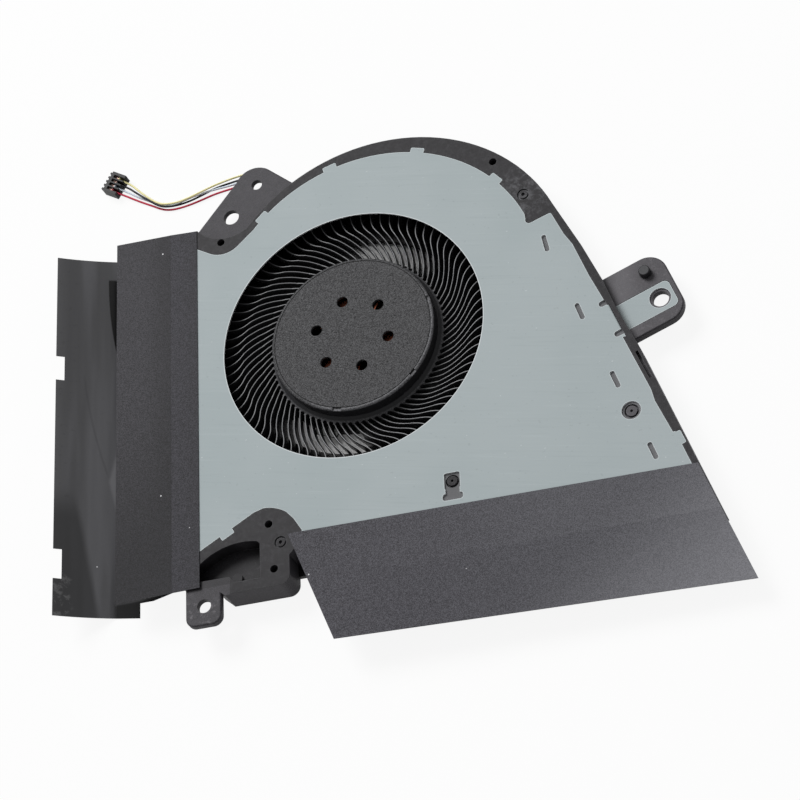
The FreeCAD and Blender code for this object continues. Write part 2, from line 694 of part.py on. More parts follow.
def make_magnet_ring():
    r = HUB_R - HUB_WALL - YOKE_T
    middle = sum(STATOR_Z) / 2
    z0 = middle - MAGNET_H / 2 + 0.25
    return ring(r, r - MAGNET_T, z0, z0 + MAGNET_H)


def washer_z():
    return SLEEVE_Z[0] - WASHER_T


def make_shaft():
    shaft = disc(SHAFT_R, TUBE_BASE + THRUST_T + END_FLOAT, HUB_TOP - SHAFT_CAP)
    groove = ring(SHAFT_R + 1, SHAFT_GROOVE_R, washer_z() - WASHER_PLAY, SLEEVE_Z[0] + WASHER_PLAY)
    return shaft.cut(groove)


def make_bearing_tube():
    """Brass cup moulded into the base: it carries the sleeve and the stator."""
    tube = disc(TUBE_R, 0, TUBE_TOP)
    return tube.cut(disc(TUBE_R - TUBE_T, TUBE_BASE, TUBE_TOP + 1))


def make_thrust_plate():
    return disc(TUBE_R - TUBE_T, TUBE_BASE, TUBE_BASE + THRUST_T)


def make_retaining_washer():
    return ring(TUBE_R - TUBE_T, SHAFT_GROOVE_R + WASHER_PLAY, washer_z(), SLEEVE_Z[0])


def make_bearing_sleeve():
    sleeve = ring(TUBE_R - TUBE_T, SHAFT_R + SHAFT_CLEARANCE, *SLEEVE_Z)
    mouth = Part.makeCone(SHAFT_R + SHAFT_CLEARANCE, SHAFT_R + 0.35, 0.3, V(0, 0, SLEEVE_Z[1] - 0.3))
    return sleeve.cut(mouth)


def stator_tip_r():
    return HUB_R - HUB_WALL - YOKE_T - MAGNET_T - AIR_GAP


def tooth_deg(k):
    return 23.5 + k * 360.0 / STATOR_N


def make_stator_core():
    """Laminated star: a ring on the bearing tube, straight teeth and curved pole shoes."""
    z0, z1 = STATOR_Z
    tip = stator_tip_r()
    core = ring(YOKE_RING_R, TUBE_R, z0, z1)
    shoe = ring(tip, tip - SHOE_T, z0, z1)
    far = 1.2 * tip
    wedge = prism(outline((0, 0), polar((0, 0), far, -SHOE_HALF_DEG),
                          polar((0, 0), far, SHOE_HALF_DEG)), z0 - 1, z1 + 1)
    tooth = slab(TUBE_R + 0.6, tip - SHOE_T / 2, -TOOTH_W / 2, TOOTH_W / 2, z0, z1)
    tooth = tooth.fuse(shoe.common(wedge))
    teeth = [place(tooth, (0, 0), tooth_deg(k)) for k in range(STATOR_N)]
    return core.multiFuse(teeth).removeSplitter()


def make_coil(k):
    """One winding around one tooth: wider outside than at the middle, as the slot allows."""
    z0, z1 = STATOR_Z[0] - COIL_T, STATOR_Z[1] + COIL_T
    half = TOOTH_W / 2 + COIL_T
    start = YOKE_RING_R + COIL_START
    end = stator_tip_r() - SHOE_T - COIL_CLEARANCE
    body = Part.makeBox(end - start, 2 * half, z1 - z0, V(start, -half, z0))
    long_edges = [e for e in body.Edges if abs(e.tangentAt(e.FirstParameter).x) > 0.9]
    body = body.makeFillet(COIL_T * 0.8, long_edges)
    body = body.cut(slab(0, HUB_R, -TOOTH_W / 2, TOOTH_W / 2, STATOR_Z[0], STATOR_Z[1]))
    return place(body, (0, 0), tooth_deg(k))


def make_circuit_board():
    top = FLOOR_T + BOARD_T
    board = ring(BOARD_R, SEAT_R + BOARD_CLEARANCE, FLOOR_T, top)
    tail = slab(BOARD_R - 3, BOARD_R + TAIL_L, -TAIL_W / 2, TAIL_W / 2, FLOOR_T, top)
    return board.fuse(place(tail, (0, 0), TAIL_DEG)).removeSplitter()


def on_board(length, width, height, r, deg):
    top = FLOOR_T + BOARD_T
    part = rounded_slab(-length / 2, length / 2, -width / 2, width / 2, top, top + height, 0.08)
    return place(part, polar((0, 0), r, deg), deg)


def ruled_film(points, drops, z, thickness):
    """Four-cornered film; each corner may hang a little below the flat height."""
    corners = [V(p[0], p[1], z - d) for p, d in zip(points, drops)]
    top = Part.makeRuledSurface(Part.makeLine(corners[0], corners[1]),
                                Part.makeLine(corners[3], corners[2]))
    return Part.Solid(top.Faces[0].extrude(V(0, 0, thickness)))


def make_film_left_upper():
    """Matt film stuck along the left outlet: flat on the cover, then tilting down past its edge."""
    x0, x1 = FILM_LEFT[0][0], FILM_LEFT[1][0]
    z = TOTAL_H
    side = Part.Face(Part.makePolygon([
        V(x1, -99, z), V(LEFT_X, -99, z), V(x0, -99, z - FILM_LEFT_DROP),
        V(x0, -99, z - FILM_LEFT_DROP + FILM_T), V(LEFT_X, -99, z + FILM_T), V(x1, -99, z + FILM_T),
        V(x1, -99, z)]))
    return side.extrude(V(0, 198, 0)).common(prism(outline(*FILM_LEFT), 0, TOTAL_H + 1))


def make_film_left_lower():
    """Glossy film under the left outlet, flat near the housing, its far side sprung upwards."""
    heel = V(LEFT_X + SKIRT_HEEL, 0, 0)
    flat = V(SKIRT_FLAT_X, 0, 0)
    edge = V(SKIRT_EDGE_X, 0, SKIRT_EDGE_Z)
    mid = (flat + edge) * 0.5 - V(SKIRT_SAG, 0, SKIRT_SAG)
    side = V(0.6 * FILM_T, 0, 0.8 * FILM_T)
    up = V(0, 0, FILM_T)
    lower = [Part.makeLine(heel, flat), Part.Arc(flat, mid, edge).toShape(),
             Part.makeLine(edge, edge + side)]
    upper = [Part.Arc(edge + side, mid + side, flat + up).toShape(),
             Part.makeLine(flat + up, heel + up), Part.makeLine(heel + up, heel)]
    film = Part.Face(Part.Wire(lower + upper)).extrude(V(0, SKIRT_Y[1] - SKIRT_CORNER[1], 0))
    film.translate(V(0, SKIRT_CORNER[1], 0))
    slant = outline((-99, SKIRT_Y[0]), (SKIRT_FLAT_X, SKIRT_Y[0]), SKIRT_CORNER,
                    (SKIRT_CORNER[0], -99), (-99, -99))
    film = film.cut(prism(slant, -1, 12))
    for y0, y1 in ((3.2, 9.0), (-43.6, -36.8)):
        film = film.cut(slab(SKIRT_EDGE_X - 1, SKIRT_EDGE_X + SKIRT_NOTCH, y0, y1, -1, 12))
    x0, x1 = SKIRT_CORNER[0], LEFT_X + SKIRT_HEEL + 1
    corner = outline((x0, -99), (x0, SKIRT_CUT_Y), (x0 + 3.0, SKIRT_CUT_Y), (LEFT_X, LEFT_LOW_Y),
                     (x1, LEFT_LOW_Y), (x1, -99))
    return film.cut(prism(corner, -1, 1))


def make_film_bottom():
    """Matt film over the bottom outlet: stuck to the cover, with its far right corner hanging."""
    a, b, c, d = FILM_BOTTOM
    left = on_line_at_y(a, d, FILM_FOLD_Y)
    right = on_line_at_y(b, c, FILM_FOLD_Y)
    on_cover = prism(outline(a, b, right, left), TOTAL_H, TOTAL_H + FILM_T)
    free = ruled_film((left, right, c, d), (0, 0, FILM_DROOP, 0), TOTAL_H, FILM_T)
    return on_cover.fuse(free)


LEADS = {
    "yellow": ((-15.1, 42.9, 0.38), (-18.2, 46.7, 0.4), (-22.6, 48.9, 0.42), (-26.9, 48.9, 0.5),
               (-32.1, 47.4, 1.26), (-35.2, 46.3, 1.51), (-38.3, 45.4, 1.43), (-41.4, 45.0, 1.16),
               (-44.4, 45.3, 0.98), (-46.2, 46.2, 0.89), (-48.3, 48.0, 0.84), (-50.4, 50.1, 0.91)),
    "black": ((-15.6, 42.6, 0.38), (-18.5, 46.2, 0.38), (-22.7, 48.3, 0.36), (-27.6, 47.8, 0.34),
              (-32.5, 47.2, 0.3), (-35.6, 46.1, 0.3), (-38.7, 45.1, 0.41), (-41.6, 44.5, 0.72),
              (-44.4, 44.6, 1.04), (-46.1, 45.4, 1.24), (-47.7, 46.8, 1.27), (-49.7, 48.5, 1.2),
              (-51.4, 50.1, 1.03)),
    "white": ((-16.2, 42.3, 0.38), (-18.9, 45.8, 0.4), (-22.8, 47.7, 0.45), (-28.4, 46.8, 0.55),
              (-32.5, 46.5, 0.82), (-36.9, 46.0, 0.87), (-39.5, 45.6, 0.58), (-42.0, 45.1, 0.36),
              (-44.7, 45.3, 0.3), (-46.9, 46.5, 0.3), (-48.5, 47.6, 0.34), (-50.0, 48.4, 0.45),
              (-51.5, 49.4, 0.65)),
    "red": ((-16.7, 42.0, 0.38), (-19.3, 45.3, 0.38), (-22.9, 47.1, 0.36), (-27.3, 46.2, 0.34),
            (-32.5, 45.7, 0.32), (-35.6, 44.9, 0.3), (-38.8, 44.2, 0.29), (-41.8, 43.9, 0.29),
            (-43.9, 44.1, 0.3), (-45.6, 44.8, 0.3), (-47.3, 45.9, 0.3), (-49.4, 47.1, 0.39),
            (-51.4, 48.3, 0.56)),
}


def lead_points(k, name):
    """Centre line of one lead: from its pad, down into the groove, then out to the plug."""
    a = math.radians(SPOKE_DEG)
    along = V(math.cos(a), math.sin(a), 0)
    across = V(-math.sin(a), math.cos(a), 0)
    side = across * ((k - 1.5) * WIRE_PITCH)
    touching = FLOOR_T - WIRE_R
    inside = [along * PAD_R + side + V(0, 0, touching),
              along * (PAD_R + 1.5) + side + V(0, 0, touching - 0.12),
              along * (GROOVE_END_R + 0.4) + side + V(0, 0, WIRE_Z + 0.02),
              along * 23.5 + side + V(0, 0, WIRE_Z),
              along * 31.0 + side * 1.05 + V(0, 0, WIRE_Z),
              along * 40.0 + side + V(0, 0, WIRE_Z)]
    outside = [V(*p) for p in LEADS[name]]
    return inside + outside + [plug_entry(k, -1.2), plug_entry(k, LEAD_IN)]


def plug_entry(k, depth):
    """Point on the axis of channel k of the plug, that far inside its cable end."""
    a = math.radians(PLUG_DEG)
    across = (k - 1.5) * PLUG_PITCH
    return V(PLUG_AT[0] + depth * math.cos(a) - across * math.sin(a),
             PLUG_AT[1] + depth * math.sin(a) + across * math.cos(a), PLUG_ENTRY_Z)


def rounded_path(points):
    """Straight runs joined by tangent arcs, each as large as its two runs allow."""
    edges = []
    radii = []
    here = points[0]
    for k in range(1, len(points) - 1):
        back = points[k - 1] - points[k]
        ahead = points[k + 1] - points[k]
        shorter = min(back.Length, ahead.Length)
        back.normalize()
        ahead.normalize()
        turn = math.pi - back.getAngle(ahead)
        cut = 0.45 * shorter
        radius = cut / math.tan(turn / 2)
        radii.append(radius)
        p = points[k] + back * cut
        q = points[k] + ahead * cut
        bisector = back + ahead
        bisector.normalize()
        centre = points[k] + bisector * (radius / math.cos(turn / 2))
        middle = centre - bisector * radius
        if (p - here).Length > 1e-5:
            edges.append(Part.makeLine(here, p))
        edges.append(Part.Arc(p, middle, q).toShape())
        here = q
    edges.append(Part.makeLine(here, points[-1]))
    return Part.Wire(edges), radii


def make_lead(name, points):
    path, radii = rounded_path(points)
    direction = points[1] - points[0]
    profile = Part.Wire(Part.makeCircle(WIRE_R, points[0], direction))
    tube = path.makePipeShell([profile], True, True)
    ideal = math.pi * WIRE_R ** 2 * path.Length
    print(name, "length", round(path.Length, 2), "volume over ideal", round(tube.Volume / ideal, 4),
          "radii", [round(r, 1) for r in radii])
    return tube


def make_plug_housing():
    """Crimp connector body: ribbed mating end and an open channel over each terminal."""
    width, length, height = PLUG_SIZE
    body = slab(0, length, -width / 2, width / 2, 0, height)
    half = CHANNEL_W / 2
    for k in range(4):
        y = (k - 1.5) * PLUG_PITCH
        body = body.cut(slab(-1, length + 1, y - half, y + half, PLUG_FLOOR, height - 0.7))
        body = body.cut(slab(-1, length - 0.75, y - half, y + half, PLUG_FLOOR, height + 1))
    ribs = []
    for k in range(5):
        y = (k - 2) * PLUG_PITCH
        ribs.append(slab(length, length + PLUG_TOOTH, y - 0.22, y + 0.22, 0, height - 0.3))
    return place(body.multiFuse(ribs), PLUG_AT, PLUG_DEG)


def make_plug_terminal(k):
    """Tin-plated crimp terminal in its channel, ahead of the lead's end."""
    y = (k - 1.5) * PLUG_PITCH
    half = CHANNEL_W / 2
    z0 = PLUG_FLOOR
    barrel = slab(0.4, PLUG_SIZE[1] - 0.1, y - half, y + half, z0, z0 + 0.95)
    floor = z0 + TERMINAL_T
    barrel = barrel.cut(slab(0, LEAD_IN + 0.1, y - half, y + half, floor, z0 + 2))
    inner = half - TERMINAL_T
    barrel = barrel.cut(slab(LEAD_IN + 0.6, 9, y - inner, y + inner, floor, z0 + 0.85))
    return place(barrel, PLUG_AT, PLUG_DEG)


def export(name, shape):
    shape.exportStep(f"parts/{name}.step")
    box = shape.BoundBox
    print(f"{name:20s} solids {len(shape.Solids)} valid {shape.isValid()} volume {shape.Volume:9.2f}"
          f" z {box.ZMin:.2f} to {box.ZMax:.2f}")


def main():
    os.makedirs("parts", exist_ok=True)
    export("housing", make_housing())
    export("cover_plate", make_cover())
    export("impeller", make_impeller())
    export("rotor_yoke", make_rotor_yoke())
    export("magnet_ring", make_magnet_ring())
    export("shaft", make_shaft())
    export("bearing_tube", make_bearing_tube())
    export("thrust_plate", make_thrust_plate())
    export("retaining_washer", make_retaining_washer())
    export("bearing_sleeve", make_bearing_sleeve())
    export("stator_core", make_stator_core())
    for k in range(STATOR_N):
        export(f"coil_{k + 1}", make_coil(k))
    export("circuit_board", make_circuit_board())
    export("driver_chip", on_board(2.0, 2.0, 0.4, CHIP_R, 262.0))
    export("hall_sensor", on_board(1.4, 2.4, 0.3, CHIP_R - 1.3, 43.5))
    for k, deg in enumerate((243.0, 249.0)):
        export(f"capacitor_{k + 1}", on_board(1.0, 0.6, 0.4, CHIP_R, deg))
    for k, deg in enumerate((274.0, 280.0)):
        export(f"resistor_{k + 1}", on_board(1.0, 0.5, 0.3, CHIP_R, deg))
    export("film_left_upper", make_film_left_upper())
    export("film_left_lower", make_film_left_lower())
    export("film_bottom", make_film_bottom())
    for k, name in enumerate(LEADS):
        export(f"lead_{name}", make_lead(name, lead_points(k, name)))
    export("plug_housing", make_plug_housing())
    for k in range(4):
        export(f"plug_terminal_{k + 1}", make_plug_terminal(k))


main()
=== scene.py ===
import math
import bpy
from mathutils import Matrix, Vector


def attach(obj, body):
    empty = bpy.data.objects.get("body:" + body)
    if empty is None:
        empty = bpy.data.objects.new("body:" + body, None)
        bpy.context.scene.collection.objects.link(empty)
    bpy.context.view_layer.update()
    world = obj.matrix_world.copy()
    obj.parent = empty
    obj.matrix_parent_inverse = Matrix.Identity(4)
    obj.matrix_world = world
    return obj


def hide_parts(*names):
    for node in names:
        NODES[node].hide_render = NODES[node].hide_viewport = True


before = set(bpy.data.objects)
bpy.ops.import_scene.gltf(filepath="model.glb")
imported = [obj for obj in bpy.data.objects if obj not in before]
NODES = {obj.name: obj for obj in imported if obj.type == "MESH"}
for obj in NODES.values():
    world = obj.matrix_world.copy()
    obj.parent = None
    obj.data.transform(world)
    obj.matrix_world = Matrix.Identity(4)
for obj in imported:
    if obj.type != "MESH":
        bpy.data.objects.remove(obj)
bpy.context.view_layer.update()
MM = 0.001


# ---- Colours and node helpers
def linear(r, g, b):
    """Colour written as 0 to 255 screen values, as the shader wants it."""
    out = []
    for value in (r, g, b):
        c = value / 255.0
        out.append(c / 12.92 if c <= 0.04045 else ((c + 0.055) / 1.055) ** 2.4)
    return (*out, 1.0)


class Nodes:
    """Short names for building one node tree, of a material or of the world."""

    def __init__(self, tree):
        self.tree = tree

    def add(self, kind, **values):
        node = self.tree.nodes.new(kind)
        for key, value in values.items():
            setattr(node, key, value)
        return node

    def link(self, a, b):
        self.tree.links.new(a, b)

    def put(self, value, socket):
        """Give a socket a plain value or another node's output."""
        if isinstance(value, bpy.types.NodeSocket):
            self.link(value, socket)
        else:
            socket.default_value = value

    def math(self, kind, a, b=0.0):
        node = self.add("ShaderNodeMath", operation=kind)
        self.put(a, node.inputs[0])
        self.put(b, node.inputs[1])
        return node.outputs[0]

    def product(self, first, *others):
        for other in others:
            first = self.math("MULTIPLY", first, other)
        return first

    def camera_white(self, shown, lit, share):
        """The shown shader, by its share, for camera, glossy and transmission rays, else lit."""
        path = self.add("ShaderNodeLightPath")
        either = path.outputs["Is Camera Ray"]
        for ray in ("Is Glossy Ray", "Is Transmission Ray"):
            either = self.math("MAXIMUM", either, path.outputs[ray])
        mix = self.add("ShaderNodeMixShader")
        self.link(self.product(either, share), mix.inputs[0])
        self.link(lit, mix.inputs[1])
        self.link(shown, mix.inputs[2])
        return mix.outputs[0]


class Shader(Nodes):
    """One material under construction. All its lengths are millimetres of the shared frame."""

    def __init__(self, name):
        self.mat = bpy.data.materials.new(name)
        self.mat.use_nodes = True
        super().__init__(self.mat.node_tree)
        self.bsdf = self.tree.nodes["Principled BSDF"]
        self.space = self.add("ShaderNodeTexCoord").outputs["Object"]

    def set(self, **values):
        for key, value in values.items():
            self.bsdf.inputs[key.replace("_", " ")].default_value = value

    def colour(self, socket):
        self.link(socket, self.bsdf.inputs["Base Color"])

    def roughness(self, socket):
        self.link(socket, self.bsdf.inputs["Roughness"])

    def ramp(self, value, low, high, out_low=0.0, out_high=1.0):
        """Smooth step from out_low to out_high, as the value goes from low to high."""
        node = self.add("ShaderNodeMapRange", interpolation_type="SMOOTHSTEP")
        for key, number in zip(("From Min", "From Max", "To Min", "To Max"),
                               (low, high, out_low, out_high)):
            node.inputs[key].default_value = number
        self.link(value, node.inputs["Value"])
        return node.outputs["Result"]

    def band(self, value, low, high, soft):
        """1 between low and high, falling to 0 over the soft distance on each side."""
        return self.product(self.ramp(value, low - soft, low + soft),
                            self.ramp(value, high - soft, high + soft, 1.0, 0.0))

    def mix(self, factor, a, b):
        """Colour a where the factor is 0, colour b where it is 1."""
        node = self.add("ShaderNodeMix", data_type="RGBA")
        for value, socket in zip((factor, a, b), (node.inputs[0], node.inputs[6], node.inputs[7])):
            self.put(value, socket)
        return node.outputs[2]

    def stretched(self, scale, turn=0.0):
        """The object's own coordinates, turned about Z by some degrees and scaled per axis."""
        turned = self.add("ShaderNodeMapping")
        turned.inputs["Rotation"].default_value = (0.0, 0.0, math.radians(turn))
        self.link(self.space, turned.inputs["Vector"])
        node = self.add("ShaderNodeMapping")
        node.inputs["Scale"].default_value = scale
        self.link(turned.outputs["Vector"], node.inputs["Vector"])
        return node.outputs["Vector"]

    def noise(self, size, detail=2.0, rough=0.5, vector=None):
        """Noise whose spots are about that many millimetres across."""
        node = self.add("ShaderNodeTexNoise")
        node.inputs["Scale"].default_value = 1.0 / (size * MM)
        node.inputs["Detail"].default_value = detail
        node.inputs["Roughness"].default_value = rough
        self.link(vector or self.space, node.inputs["Vector"])
        return node.outputs["Fac"]

    def grains(self, size):
        """Random value for each tiny cell, as in a fine spark-eroded texture."""
        node = self.add("ShaderNodeTexVoronoi")
        node.inputs["Scale"].default_value = 1.0 / (size * MM)
        self.link(self.space, node.inputs["Vector"])
        value = self.add("ShaderNodeSeparateColor")
        self.link(node.outputs["Color"], value.inputs[0])
        return self.ramp(value.outputs[0], 0.0, 1.0)

    def place(self, axis):
        """Coordinate along X, Y or Z."""
        node = self.add("ShaderNodeSeparateXYZ")
        self.link(self.space, node.inputs[0])
        return self.product(node.outputs[axis], 1.0 / MM)

    def along(self, x_share, y_share):
        """Sum of the X and Y coordinates, each times its share."""
        return self.math("ADD", self.product(self.place("X"), x_share),
                         self.product(self.place("Y"), y_share))

    def away_from(self, x, y):
        """Distance from the upright line through x, y."""
        node = self.add("ShaderNodeVectorMath", operation="DISTANCE")
        self.link(self.stretched((1.0 / MM, 1.0 / MM, 0.0)), node.inputs[0])
        node.inputs[1].default_value = (x, y, 0.0)
        return node.outputs["Value"]

    def radius(self):
        """Distance from the rotor's axis."""
        return self.away_from(0.0, 0.0)

    def normal_z(self):
        """Upward part of the face's normal: 1 on level faces, 0 on upright ones."""
        geometry = self.add("ShaderNodeNewGeometry")
        node = self.add("ShaderNodeSeparateXYZ")
        self.link(geometry.outputs["Normal"], node.inputs[0])
        return node.outputs["Z"]

    def facing_up(self, low=0.8, high=0.97):
        """1 on faces that look straight up, 0 on the rest."""
        return self.ramp(self.normal_z(), low, high)

    def rounded_normal(self, width):
        """Normal as if the sharp edges were rounded by that width."""
        bevel = self.add("ShaderNodeBevel", samples=4)
        bevel.inputs["Radius"].default_value = width * MM
        return bevel.outputs["Normal"]

    def edges(self, width):
        """1 along sharp edges, within about that distance of them, and 0 on open faces."""
        geometry = self.add("ShaderNodeNewGeometry")
        dot = self.add("ShaderNodeVectorMath", operation="DOT_PRODUCT")
        self.link(self.rounded_normal(width), dot.inputs[0])
        self.link(geometry.outputs["Normal"], dot.inputs[1])
        return self.ramp(dot.outputs["Value"], 0.86, 0.99, 1.0, 0.0)

    def recess(self, reach, low, high):
        """1 deep inside recesses, falling to 0 on open faces."""
        node = self.add("ShaderNodeAmbientOcclusion", samples=8)
        node.inputs["Distance"].default_value = reach * MM
        return self.ramp(node.outputs["AO"], low, high, 1.0, 0.0)

    def relief(self, heights, depth, round_by=0.0):
        """Bump from a height value, over edges that look rounded by round_by."""
        bump = self.add("ShaderNodeBump")
        bump.inputs["Distance"].default_value = depth * MM
        bump.inputs["Strength"].default_value = 1.0
        self.link(heights, bump.inputs["Height"])
        if round_by:
            self.link(self.rounded_normal(round_by), bump.inputs["Normal"])
        self.link(bump.outputs["Normal"], self.bsdf.inputs["Normal"])


# ---- Plain finishes
FINE_SHARE = 0.35
SLOW_SHARE = 0.12
ROUGHNESS_SPREAD = 0.06
METAL_GRAIN = 0.2
METAL_DULL = 0.8


def moulded(name, base, pale, grain, roughness, depth=0.006, round_by=0.12):
    """Moulded plastic with a fine matt grain and a slow change of tone."""
    s = Shader(name)
    fine = s.noise(grain, 3.0, 0.6)
    slow = s.noise(14.0, 2.0)
    tone = s.mix(s.ramp(fine, 0.42, 0.72, 0.0, FINE_SHARE), base, pale)
    s.colour(s.mix(s.ramp(slow, 0.35, 0.7, 0.0, SLOW_SHARE), tone, pale))
    s.roughness(s.ramp(fine, 0.3, 0.7, roughness - ROUGHNESS_SPREAD, roughness + ROUGHNESS_SPREAD))
    s.set(Specular_IOR_Level=0.15)
    s.relief(fine, depth, round_by)
    return s


def metal(name, base, roughness):
    """Bare metal with fine duller patches."""
    s = Shader(name)
    fine = s.noise(METAL_GRAIN, 2.0)
    dull = tuple(c * METAL_DULL for c in base[:3]) + (1.0,)
    s.colour(s.mix(s.ramp(fine, 0.4, 0.7), base, dull))
    s.set(Metallic=1.0, Roughness=roughness)
    s.relief(fine, 0.002, 0.05)
    return s


def dress(material, *names):
    for name in names:
        data = NODES[name].data
        data.materials.clear()
        data.materials.append(material.mat)


# ---- Case
PEG_XY = (62.611, 1.482)
PEG_REACH = (1.2, 1.5)
RING_MARK_XY = (38.6, 25.2)
RING_MARK_REACH = (3.0, 9.0)
RIGHT_LUG_X = (54.0, 57.0)
LIGHT_BESIDE_WALL_X = (54.0, 60.0)
LIGHT_BESIDE_WALL_Z = (5.9, 6.2)
POCKET_X = (-38.0, -21.3)
POCKET_Y = (-52.0, -43.4)
POCKET_Z = (6.5, 6.8)
WALL_TOP_Z = (6.75, 6.9)
CASE_FLOOR_Z = (1.25, 1.6)
DEEP_Z = (5.4, 6.3)
SLOTS_X = (15.0, 17.0)
SLOTS_Z = (6.5, 6.68)


def housing_finish():
    """Black moulded plastic: matt grain, rubbed pale patches, darker wall tops, painted shade on
    the floor, in the pocket and in recesses, and painted light on edges and beside the wall.
    """
    s = Shader("housing_plastic")
    x, y, height = s.place("X"), s.place("Y"), s.place("Z")
    up = s.facing_up()
    fine = s.grains(0.14)
    tone = s.mix(fine, linear(46, 45, 48), linear(74, 72, 76))

    mottled = s.ramp(s.noise(0.9, 4.0, 0.8), 0.5, 0.72)
    rubbed = s.product(mottled, s.ramp(y, -30.0, 20.0, 0.7, 0.12),
                       s.ramp(s.noise(11.0, 1.0), 0.46, 0.6))
    right_lug = s.ramp(x, *RIGHT_LUG_X)
    rubbed_lug = s.product(right_lug, s.ramp(mottled, 0.0, 1.0, 0.2, 0.5))
    rubbed = s.math("MAXIMUM", rubbed, rubbed_lug)
    tone = s.mix(s.product(rubbed, up), tone, linear(128, 125, 129))

    tone = s.mix(s.ramp(height, *WALL_TOP_Z, 0.0, 0.85), tone, linear(28, 27, 29))
    around_mark = s.ramp(s.away_from(*RING_MARK_XY), *RING_MARK_REACH, 0.45, 0.09)
    patchy = s.ramp(s.noise(1.4, 4.0, 0.75), 0.42, 0.68)
    tone = s.mix(s.product(patchy, around_mark, up), tone, linear(112, 112, 116))
    on_peg = s.ramp(s.away_from(*PEG_XY), *PEG_REACH, 0.85, 0.0)
    tone = s.mix(on_peg, tone, linear(30, 30, 32))
    # Painted highlight along sharp edges.
    tone = s.mix(s.product(s.edges(0.18), 0.3), tone, linear(150, 150, 153))

    # Painted shade on the case floor.
    floor_shade = s.product(s.ramp(height, *CASE_FLOOR_Z, 0.8, 0.0), up)
    tone = s.mix(floor_shade, tone, linear(16, 16, 17))
    # Painted shade in the pocket.
    pocket_shade = s.product(s.band(x, *POCKET_X, 0.1), s.band(y, *POCKET_Y, 0.1),
                          s.ramp(height, *POCKET_Z, 0.6, 0.0))
    tone = s.mix(pocket_shade, tone, linear(14, 14, 15))
    shade = s.product(s.recess(5.0, 0.3, 0.75), s.ramp(height, *DEEP_Z, 0.8, 0.3),
                      s.ramp(right_lug, 0.0, 1.0, 1.0, 0.2))
    tone = s.mix(shade, tone, linear(8, 8, 9))

    # Painted light beside the wall on the right lug, brightening it where the wall's shadow falls.
    light_beside_wall = s.product(s.band(x, *LIGHT_BESIDE_WALL_X, 2.5), up,
                            s.ramp(height, *LIGHT_BESIDE_WALL_Z, 0.25, 0.0))
    tone = s.mix(light_beside_wall, tone, linear(132, 130, 134))
    in_slots = s.product(s.band(height, *SLOTS_Z, 0.03), s.ramp(x, *SLOTS_X, 0.0, 0.7), up)
    s.colour(s.mix(in_slots, tone, linear(106, 107, 109)))
    s.roughness(s.ramp(fine, 0.3, 0.7, 0.44, 0.56))
    s.set(Specular_IOR_Level=0.12)
    s.relief(fine, 0.004, 0.12)
    return s


# ---- Cover
ROLLING_TURN = 11.8
ROLLING_STRETCH = (0.03, 1.0, 1.0)
FLECK_STRETCH = (0.6, 1.0, 1.0)
INLET_HIGHLIGHT_R = (28.42, 28.62)


def cover_finish():
    """Grey coated sheet with fine rolling marks, small specks, bright bare cut faces and a painted
    highlight along its edges.
    """
    s = Shader("cover_coat")
    fine = s.noise(0.35, 2.0)
    slow = s.noise(25.0, 2.0)
    base = s.mix(s.ramp(slow, 0.3, 0.7), linear(163, 173, 175), linear(168, 177, 179))
    rolled = s.noise(0.4, 3.0, 0.6, s.stretched(ROLLING_STRETCH, ROLLING_TURN))
    base = s.mix(s.ramp(rolled, 0.56, 0.76, 0.0, 0.35), base, linear(178, 187, 189))
    base = s.mix(s.ramp(rolled, 0.44, 0.26, 0.0, 0.3), base, linear(152, 162, 164))
    specks = s.ramp(s.noise(0.8, 1.0), 0.71, 0.76, 0.0, 0.22)
    base = s.mix(specks, base, linear(132, 140, 142))
    flecks = s.ramp(s.noise(0.5, 1.0, 0.5, s.stretched(FLECK_STRETCH)), 0.765, 0.79, 0.0, 0.5)
    base = s.mix(flecks, base, linear(214, 219, 220))

    # Painted highlight along the sharp edges and round the inlet's edge.
    rim_highlight = s.band(s.radius(), *INLET_HIGHLIGHT_R, 0.04)
    base = s.mix(s.math("MAXIMUM", s.edges(0.3), rim_highlight), base, linear(222, 227, 229))
    cut = s.ramp(s.math("ABSOLUTE", s.normal_z()), 0.15, 0.5, 1.0, 0.0)
    s.colour(s.mix(cut, base, linear(240, 242, 243)))
    s.link(cut, s.bsdf.inputs["Metallic"])
    s.roughness(s.ramp(cut, 0.0, 1.0, 0.62, 0.4))
    s.set(Specular_IOR_Level=0.12)
    s.relief(fine, 0.0025, 0.06)
    return s


# ---- Rotor
BLADE_N = 83
BLADE_ROOT = 18.9
BEND_R = 25.5
LEAN = (0.35, 2.1, 0.06)
FADE = 1.65
BLADE_HIGHLIGHT_WIDTH = (0.06, 0.11)
TOWARD_HUB_HIGHLIGHT = (0.64, -0.77)


def beside_blades(s, radius):
    """Distance along the circle from the middle line of the nearest blade, as in blade_angle."""
    start, first, second = LEAN
    inner = s.math("SUBTRACT", s.math("MINIMUM", radius, BEND_R), BLADE_ROOT)
    lean = s.product(inner, s.math("ADD", s.product(inner, second), first))
    beyond = s.math("MAXIMUM", s.math("SUBTRACT", radius, BEND_R))
    fading = s.math("SUBTRACT", 1.0, s.math("EXPONENT", s.product(beyond, -1.0 / FADE)))
    slope = first + 2.0 * second * (BEND_R - BLADE_ROOT)
    lean = s.math("ADD", lean, s.product(fading, slope * FADE))
    angle = s.product(s.math("ARCTAN2", s.place("Y"), s.place("X")), 180.0 / math.pi)
    angle = s.math("SUBTRACT", s.math("SUBTRACT", angle, lean), start)
    blades = s.product(angle, BLADE_N / 360.0)
    off = s.math("SUBTRACT", s.math("FRACT", s.math("ADD", blades, 0.5)), 0.5)
    pitch = s.product(radius, 2.0 * math.pi / BLADE_N)
    return s.product(s.math("ABSOLUTE", off), pitch)


